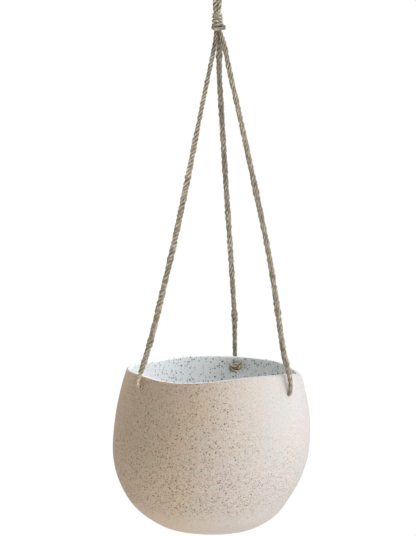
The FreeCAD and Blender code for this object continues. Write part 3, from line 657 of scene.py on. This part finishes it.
def pot_section(azimuth):
    """Radius and height round the pot's section at each azimuth, as rows: up the outside from the middle of
    the base, over the lip and down the inside to the middle of the floor. The wall's heights are spaced
    between its foot and the rim at that azimuth. The lip is half an oval across the wall, and falls away
    outwards on the right."""
    top = rim_height(azimuth) + 0.2 * MM * wander(azimuth, 1.1, 5)
    below_lip = (top - LIP_HEIGHT)[:, None]
    turn = (np.degrees(azimuth) - LIP_FALL_AZIMUTH + 180) % 360 - 180
    fall = LIP_FALL * (1 - ease(np.abs(turn), 0, LIP_FALL_REACH))[:, None]
    foot_radius, foot_height = corner_arc(BELLY_RADIUS, 0.0, BASE_CORNER)
    heel_radius, heel_height = corner_arc(BELLY_RADIUS - WALL, FLOOR, INSIDE_CORNER)

    def all_round(values):
        return np.broadcast_to(values, (len(azimuth), len(values)))

    spread = np.linspace(0, 1, WALL_ROWS)[1:]
    outer_height = foot_height[-1] + (below_lip - fall - foot_height[-1]) * spread
    inner_height = (heel_height[-1] + (below_lip - heel_height[-1]) * spread)[:, ::-1]
    angle = np.linspace(0, np.pi, LIP_ROWS)[1:-1]
    share = (1 - np.cos(angle)) / 2
    lip_height = below_lip - fall * (1 - share) ** 2 + LIP_HEIGHT * np.sin(angle) ** 0.75
    lip_radius = wall_radius(lip_height) * (1 - share) + wall_radius(lip_height, WALL) * share
    flat = np.linspace(0.02, 1, FLAT_ROWS)[:-1]
    radius = np.concatenate([
        all_round(foot_radius[0] * flat), all_round(foot_radius), wall_radius(outer_height), lip_radius,
        wall_radius(inner_height, WALL), all_round(heel_radius[::-1]),
        all_round(heel_radius[0] * flat[::-1])], axis=1)
    height = np.concatenate([
        all_round(0 * flat), all_round(foot_height), outer_height, lip_height,
        inner_height, all_round(heel_height[::-1]), all_round(FLOOR + 0 * flat)], axis=1)
    glazed_from = len(flat) + len(foot_radius) + len(spread) + GLAZED_LIP
    return radius, height, glazed_from


def hand_thrown(radius, height, azimuth):
    """How far the wall stands out from a true circle: slow swells round it that grow with its height."""
    swell = sum(rise * wander(azimuth, spacing, seed) for rise, spacing, seed in ROUND_SWELLS)[:, None]
    return swell * ease(height, 0, BELLY_HEIGHT) * ease(radius, 0.3 * BELLY_RADIUS, 0.8 * BELLY_RADIUS)


def hole_mouth(name):
    """The middle of a cord hole on the outside of the wall, and the direction out through it."""
    azimuth, height = HOLES[name]
    above_base = height - POT_BASE
    mouth = polar(wall_radius(above_base), azimuth, height) + np.array([lean(above_base), 0, 0])
    return mouth, polar(math.cos(HOLE_TILT), azimuth, math.sin(HOLE_TILT))


def hole_cutter(name):
    """A round rod along a cord hole: a circle carried along the hole's axis."""
    mouth, way = hole_mouth(name)
    side = unit(np.cross(way, UP))
    angle = np.linspace(0, 2 * np.pi, CUT_COLUMNS, endpoint=False)[:, None]
    radius = HOLE_FIT * HANGER_WIDTHS[name][0][1] * MM / 2
    ring = radius * (np.cos(angle) * side + np.sin(angle) * np.cross(way, side))
    points = np.concatenate([mouth - way * CUT_INWARDS * MM + ring, mouth + way * CUT_OUTWARDS * MM + ring])
    inner = np.arange(CUT_COLUMNS)
    after = (inner + 1) % CUT_COLUMNS
    outer = inner + CUT_COLUMNS
    sides = np.stack([inner, after, after + CUT_COLUMNS, outer], axis=-1)
    faces = [*sides.tolist(), inner[::-1].tolist(), outer.tolist()]
    return make_piece(f"{name}_cutter", points, faces, [])


def ring_quads(columns, rows):
    """The faces of a grid of points that closes round, column by column."""
    column, row = np.meshgrid(np.arange(columns), np.arange(rows - 1), indexing="ij")
    here = column * rows + row
    beside = (column + 1) % columns * rows + row
    return np.stack([here, beside, beside + 1, here + 1], axis=-1).reshape(-1, 4)


def make_pot():
    """The pot: its section carried round the leaning axis, with the cord holes cut through the wall. Its
    inside and the top of its lip are glazed, and its outside and the holes are bare clay."""
    azimuth = np.linspace(0, 2 * np.pi, POT_COLUMNS, endpoint=False)
    radius, height, glazed_from = pot_section(azimuth)
    radius = radius + hand_thrown(radius, height, azimuth)
    turn = azimuth[:, None]
    across = radius * np.sin(turn) + lean(height)
    points = np.stack([across, -radius * np.cos(turn), height + POT_BASE], axis=-1)
    columns, rows = radius.shape
    quads = ring_quads(columns, rows)
    base = np.arange(columns)[::-1] * rows
    floor = np.arange(columns) * rows + rows - 1
    faces = quads.tolist() + [base.tolist(), floor.tolist()]
    pot = make_piece("stoneware_pot", points.reshape(-1, 3), faces, [CLAY, GLAZE])
    glazed = np.append(quads[:, 0] % rows >= glazed_from, [False, True])
    pot.data.polygons.foreach_set("material_index", glazed.astype(np.int32))
    for name in HOLES:
        cutter = hole_cutter(name)
        cut = pot.modifiers.new(f"{name}_hole", "BOOLEAN")
        cut.operation = "DIFFERENCE"
        cut.solver = "EXACT"
        cut.object = cutter
        seen = pot.evaluated_get(bpy.context.evaluated_depsgraph_get())
        mesh = bpy.data.meshes.new_from_object(seen)
        pot.modifiers.clear()
        pot.data = mesh
        bpy.data.objects.remove(cutter)
    pot.data.name = pot.name
    pot.data.shade_smooth()
    pot.data.set_sharp_from_angle(angle=math.radians(40))
    return pot


POT = make_pot()
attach(POT, "planter")
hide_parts("pot")


# Hanging cords
def make_hanger(name, seed):
    """One hanging cord from its hole up into the binding, where it is squeezed thinner."""
    azimuth = HOLES[name][0]
    radius, aside, height = np.array(HANGER_ROUTES[name]).T * MM
    points = polar(radius, azimuth, height) + polar(aside, azimuth - 90, 0.0)
    line, distance = even_steps(route(points), CORD_STEP)
    level = line[:, 2] / MM
    squeeze = 1 - SQUEEZE * ease(line[:, 2], *SQUEEZE_HEIGHTS)
    uneven = 1
    for share, spacing, step in HANGER_BUMPS:
        uneven = uneven + share * wander(distance, spacing, seed + step)
    diameter = np.interp(line[:, 2], *(np.array(HANGER_WIDTHS[name]).T * MM)) * squeeze * uneven
    side = polar(1.0, azimuth + 90, 0.0)
    pressed = np.interp(level, *np.array(HANGER_PRESSED[name]).T)
    plies = laid_plies(line, distance, side, diameter, *HANGER_LAYS[name], seed, sides=10, pressed=pressed)
    strays = stray_fibres(line, distance, side, diameter, HANGER_STRAYS, seed + 6)
    # The left cord's pale end by its hole is a painted highlight.
    tone = np.interp(level, *np.array(HANGER_TONES[name]).T)
    tone = tone * (1 + 0.1 * wander(distance, 55 * MM, seed + 7))
    # How dark the painted shade in the grooves is along the cord.
    painted_groove_shade = np.interp(level, *np.array(HANGER_PAINTED_GROOVE_SHADE[name]).T)
    piece = rope_piece(f"{name}_hanging_cord", plies, line, distance, diameter, CORD_JUTE, tone, strays,
                       painted_groove_shade)
    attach(piece, "planter")
    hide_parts(f"{name}_cord")
    return piece, line, distance[-1], diameter.mean()


# A stopper knot against the inside of the wall, in millimetres: inwards from the hole's outer mouth, to the
# right as seen from the pot's axis, and up. It goes over to the left below, back to the right above, and
# its end comes out on the right.
KNOT_ROUTE = np.array([
    (2.5, 0.0, 0.0), (7.2, 0.6, 0.6), (8.6, 4.2, 0.6), (10.6, 3.5, -1.1), (11.9, 0.6, -0.9),
    (10.6, -2.7, -0.5), (8.0, -3.3, 1.5), (10.2, -2.4, 3.5), (12.0, 0.2, 3.4), (10.6, 2.5, 3.9),
    (7.6, 3.2, 4.4), (6.7, 5.0, 4.6), (8.6, 6.5, 4.0), (10.8, 6.3, 2.2), (10.6, 5.9, 0.4),
])
KNOT_STRAND = 4.3 * MM
KNOT_LAY = 14 * MM


def make_knot(name, seed):
    """The stopper knot on a cord's end: the cord turned back, wound round itself and tucked under."""
    mouth, outward = hole_mouth(name)
    inward = -outward
    right = unit(np.cross(UP, inward))
    rise = np.cross(inward, right)
    points = mouth + KNOT_ROUTE @ np.stack([inward, right, rise]) * MM
    line, distance = even_steps(route(points), FINE_STEP)
    diameter = KNOT_STRAND * (1 + 0.05 * wander(distance, 15 * MM, seed))
    plies = laid_plies(line, distance, right, diameter, KNOT_LAY, 3, seed)
    tone = 1.2 + 0.15 * wander(distance, 20 * MM, seed + 7)
    piece = rope_piece(f"{name}_stopper_knot", plies, line, distance, diameter, KNOT_JUTE, tone,
                       cut_end=True)
    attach(piece, "planter")
    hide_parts(f"{name}_knot")
    return piece


for order, side_name in enumerate(HANGER_ROUTES):
    hanger, hanger_line, hanger_length, hanger_width = make_hanger(side_name, 100 + 10 * order)
    knot = make_knot(side_name, 200 + 10 * order)
    hole_mouth(side_name)[0]


# Binding: distance from the axis and height of the twine's middle in millimetres, at each quarter turn from
# the left over the front to the right and round behind. The turns arch in front at the top and sag at the
# bottom, and the last one stands out on the right.
BINDING_QUARTERS = np.array([
    (3.6, -82.3), (4.0, -82.1), (3.6, -82.3), (4.0, -83.7),
    (3.6, -85.1), (4.1, -84.7), (4.0, -85.3), (4.1, -86.8),
    (3.7, -88.2), (4.1, -87.6), (4.2, -88.1), (4.1, -89.8),
    (3.6, -91.3), (4.2, -91.2), (5.0, -90.6), (4.5, -92.2),
    (3.7, -93.5), (6.4, -95.8), (6.3, -93.3), (4.6, -93.0),
])
TWINE_DIAMETER = 2.75 * MM
TWINE_LAY = 17 * MM
TWINE_PRESSED = 1.26
TWINE_STRAYS = 60
# In its last turn the twine grows thicker by this share, and its tone drops by this much as painted shade
# where it turns away on the right, between these shares of its length.
LAST_THICKER = 0.8
THICKER_BETWEEN = (0.86, 0.95)
LAST_TURN_PAINTED_SHADE = 0.4
PAINTED_SHADE_BETWEEN = (0.84, 0.93)
BUNDLE_BOTTOM = -95.5 * MM
BUNDLE_TOP = -81 * MM
BUNDLE_DIAMETER = 5.4 * MM
BUNDLE_LAY = 40 * MM


def make_binding():
    """Twine wound round the gathered cords: a helix whose distance from the axis and height go from one
    quarter turn's values to the next, with a little wander. It is thicker in its last turn, and darker
    there as painted shade."""
    last = len(BINDING_QUARTERS) - 1
    quarter = np.linspace(0, last, 4 * last + 1)
    turn = quarter * np.pi / 2
    radius, level = (np.interp(quarter, np.arange(last + 1), values) for values in BINDING_QUARTERS.T)
    radius = radius + 0.15 * wander(quarter, 4.1, 31)
    level = level + 0.12 * wander(quarter, 2.7, 32)
    points = np.stack([-radius * np.cos(turn), -radius * np.sin(turn), level], axis=-1) * MM
    line, distance = even_steps(route(points), FINE_STEP)
    share = distance / distance[-1]
    thicker = LAST_THICKER * ease(share, *THICKER_BETWEEN)
    diameter = TWINE_DIAMETER * (1 + thicker + 0.08 * wander(distance, 21 * MM, 33))
    plies = laid_plies(line, distance, UP, diameter, TWINE_LAY, 3, 34, sides=10, pressed=TWINE_PRESSED)
    strays = stray_fibres(line, distance, UP, diameter, TWINE_STRAYS, 35)
    # Painted shade: the last turn is darker where it turns away on the right.
    tone = 1.04 + 0.18 * wander(distance, 24 * MM, 36) - LAST_TURN_PAINTED_SHADE * ease(share, *PAINTED_SHADE_BETWEEN)
    piece = rope_piece("twine_binding", plies, line, distance, diameter, TWINE_JUTE, tone, strays)
    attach(piece, "binding")
    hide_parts("binding")


def make_bundle():
    """The gathered cords inside the binding: three cords pressed together along the axis."""
    line, distance = even_steps(np.array([(0, 0, BUNDLE_BOTTOM), (0, 0, BUNDLE_TOP)]), FINE_STEP)
    diameter = np.full(len(distance), BUNDLE_DIAMETER)
    plies = laid_plies(line, distance, (1, 0, 0), diameter, BUNDLE_LAY, 3, 41)
    tone = np.ones(len(distance))
    piece = rope_piece("gathered_cord_bundle", plies, line, distance, diameter, CORD_JUTE, tone)
    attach(piece, "binding")
    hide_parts("gathered_cords")


make_binding()
make_bundle()

# Hanging loop and the two strands of the neck below it, in millimetres across and up, on one half
LOOP_HALF = [(1.2, -86), (1.5, -81.5), (1.8, -78), (2.0, -74), (2.05, -66), (2.2, -56), (3.2, -44),
             (7.2, -32), (11.6, -21), (12.6, -13), (12.4, -6), (7.66, 0.55)]
LOOP_TOP = 3.04
SEAM = -66 * MM
# Its cord grows thinner by these shares in the neck and in the binding's grip, between these heights.
NECK_THINNER = 0.06
NECK_HEIGHTS = (-50 * MM, -62 * MM)
GRIP_THINNER = 0.22
GRIP_HEIGHTS = (-76 * MM, -81 * MM)


def make_loop():
    """One cord up from the binding, over the hook and down again, cut into the loop and the neck's strands
    where its height passes the seam."""
    left = [(-across, 0, height) for across, height in LOOP_HALF]
    right = [(across, 0, height) for across, height in reversed(LOOP_HALF)]
    points = np.array(left + [(0, 0, LOOP_TOP)] + right) * MM
    line, distance = even_steps(route(points), CORD_STEP)
    grip = ease(line[:, 2], *GRIP_HEIGHTS)
    diameter = LOOP_DIAMETER * (1 - NECK_THINNER * ease(line[:, 2], *NECK_HEIGHTS))
    diameter = diameter * (1 - GRIP_THINNER * grip)
    diameter = diameter * (1 + 0.05 * wander(distance, 30 * MM, 51))
    plies = laid_plies(line, distance, (0, 1, 0), diameter, LOOP_LAY, 3, 52)
    tone = 1.12 + 0.1 * wander(distance, 40 * MM, 53) + 0.2 * grip
    above = np.flatnonzero(line[:, 2] > SEAM)
    first, last = above[0], above[-1] + 1
    parts = {
        "neck_left": slice(0, first + 1),
        "hanging_loop": slice(first, last),
        "neck_right": slice(last - 1, None),
    }
    made = {}
    for node, part in parts.items():
        piece = rope_piece(f"{node}_cord", plies[:, part], line[part], distance[part], diameter[part],
                           CORD_JUTE, tone[part])
        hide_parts(node)
        made[node] = piece
    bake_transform(made["hanging_loop"])
    for node in ("neck_left", "neck_right"):
        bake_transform(made[node])


make_loop()


# Studio, in metres: the floor, the lights' distance and aim, and the photograph's view
STAGE_RADIUS = 4.0
STAGE_LEVEL = -1.6
STAGE_GRID = (96, 40)
LIGHT_DISTANCE = 1.6
POT_MIDDLE = -0.46
EYE = Vector((-4.777, -1700.0, -153.93)) * MM
TARGET = Vector((-4.777, 0.0, -313.08)) * MM
ROLL = math.radians(0.88)
LENS = 124.87


def make_floor():
    """A pale round floor well below the planter, which brightens to the backdrop's white at its edge."""
    columns, rows = STAGE_GRID
    radius = np.linspace(0.02, 1, rows)[None, :] * STAGE_RADIUS
    turn = np.linspace(0, 2 * np.pi, columns, endpoint=False)[:, None]
    level = np.full(STAGE_GRID, STAGE_LEVEL)
    points = np.stack([radius * np.sin(turn), -radius * np.cos(turn), level], axis=-1)
    quads = ring_quads(columns, rows)[:, [0, 3, 2, 1]]
    middle = np.arange(columns)[::-1] * rows
    faces = [*quads.tolist(), middle.tolist()]
    material, tree, shader = finish_material("pale_floor")
    fill(tree, shader, {"Base Color": linear("#E8E6E2"), "Roughness": 0.9})
    place = add(tree, "ShaderNodeTexCoord").outputs["Object"]
    flat = add(tree, "ShaderNodeVectorMath", {0: place, 1: (1, 1, 0)}, operation="MULTIPLY")
    reach = add(tree, "ShaderNodeVectorMath", {0: flat.outputs["Vector"]}, operation="LENGTH")
    fade = add(tree, "ShaderNodeMapRange", {
        "Value": reach.outputs["Value"], "From Min": 1.2, "From Max": 3.8}, interpolation_type="SMOOTHSTEP")
    white = add(tree, "ShaderNodeEmission", {"Color": linear("#FFFFFF"), "Strength": 1.0})
    mixed = add(tree, "ShaderNodeMixShader", {
        0: fade.outputs["Result"], 1: shader.outputs["BSDF"], 2: white.outputs["Emission"]})
    fill(tree, tree.nodes["Material Output"], {"Surface": mixed.outputs["Shader"]})
    floor = make_piece("studio_floor", points.reshape(-1, 3), faces, [material])


def make_world():
    """A white backdrop for the camera and a weaker even light for everything else."""
    world = bpy.data.worlds.new("studio")
    world.use_nodes = True
    tree = world.node_tree
    tree.nodes.clear()
    ray = add(tree, "ShaderNodeLightPath").outputs["Is Camera Ray"]
    light = add(tree, "ShaderNodeBackground", {"Color": linear("#FFFAF4"), "Strength": 0.155})
    backdrop = add(tree, "ShaderNodeBackground", {"Color": linear("#FFFFFF"), "Strength": 1.0})
    mixed = add(tree, "ShaderNodeMixShader", {
        0: ray, 1: light.outputs["Background"], 2: backdrop.outputs["Background"]})
    add(tree, "ShaderNodeOutputWorld", {"Surface": mixed.outputs["Shader"]})
    bpy.context.scene.world = world


def make_light(name, azimuth, elevation, width, watts, colour, aim_height=POT_MIDDLE, spread=180):
    """A square soft light that faces a height on the axis, the pot's unless one is given, from an azimuth
    and an elevation in degrees. Its beam spreads by this many degrees."""
    aim = Vector((0, 0, aim_height))
    turn, tilt = math.radians(azimuth), math.radians(elevation)
    way = Vector((math.sin(turn) * math.cos(tilt), -math.cos(turn) * math.cos(tilt), math.sin(tilt)))
    light = bpy.data.lights.new(name, "AREA")
    light.size = width
    light.energy = watts
    light.spread = math.radians(spread)
    light.color = linear(colour)[:3]
    holder = bpy.data.objects.new(name, light)
    holder.location = aim + way * LIGHT_DISTANCE
    holder.rotation_euler = way.to_track_quat("Z", "Y").to_euler()
    holder.visible_camera = False
    bpy.context.scene.collection.objects.link(holder)


def make_camera():
    """The photograph's view: a long lens in front of the planter and above the pot, rolled slightly."""
    camera = bpy.data.cameras.new("photograph")
    camera.sensor_width = 36.0
    camera.lens = LENS
    camera.clip_end = 50.0
    holder = bpy.data.objects.new("photograph", camera)
    level = (EYE - TARGET).to_track_quat("Z", "Y").to_matrix().to_4x4()
    holder.matrix_world = Matrix.Translation(EYE) @ level @ Matrix.Rotation(ROLL, 4, "Z")
    bpy.context.scene.collection.objects.link(holder)
    bpy.context.scene.camera = holder


make_floor()
make_world()
make_light("left_level", -100, 0, 1.2, 6.6, "#FFFAF6")
make_light("cord_fill", -70, -8, 0.2, 0.12, "#FFFAF6", aim_height=-0.21, spread=10)
make_light("front_low", 34, -30, 1.2, 12.0, "#FCFDFF")
make_light("front_level", 15, 15, 1.2, 3.9, "#FFFEFC")
make_light("right_level", 65, 8, 1.2, 4.4, "#FFFDFA")
make_light("right_high", 90, 45, 2.6, 46.0, "#F4F8FF")
make_light("back_high", -155, 40, 1.2, 14.4, "#FFFBF6")
make_camera()
bpy.context.scene.view_settings.view_transform = "Standard"
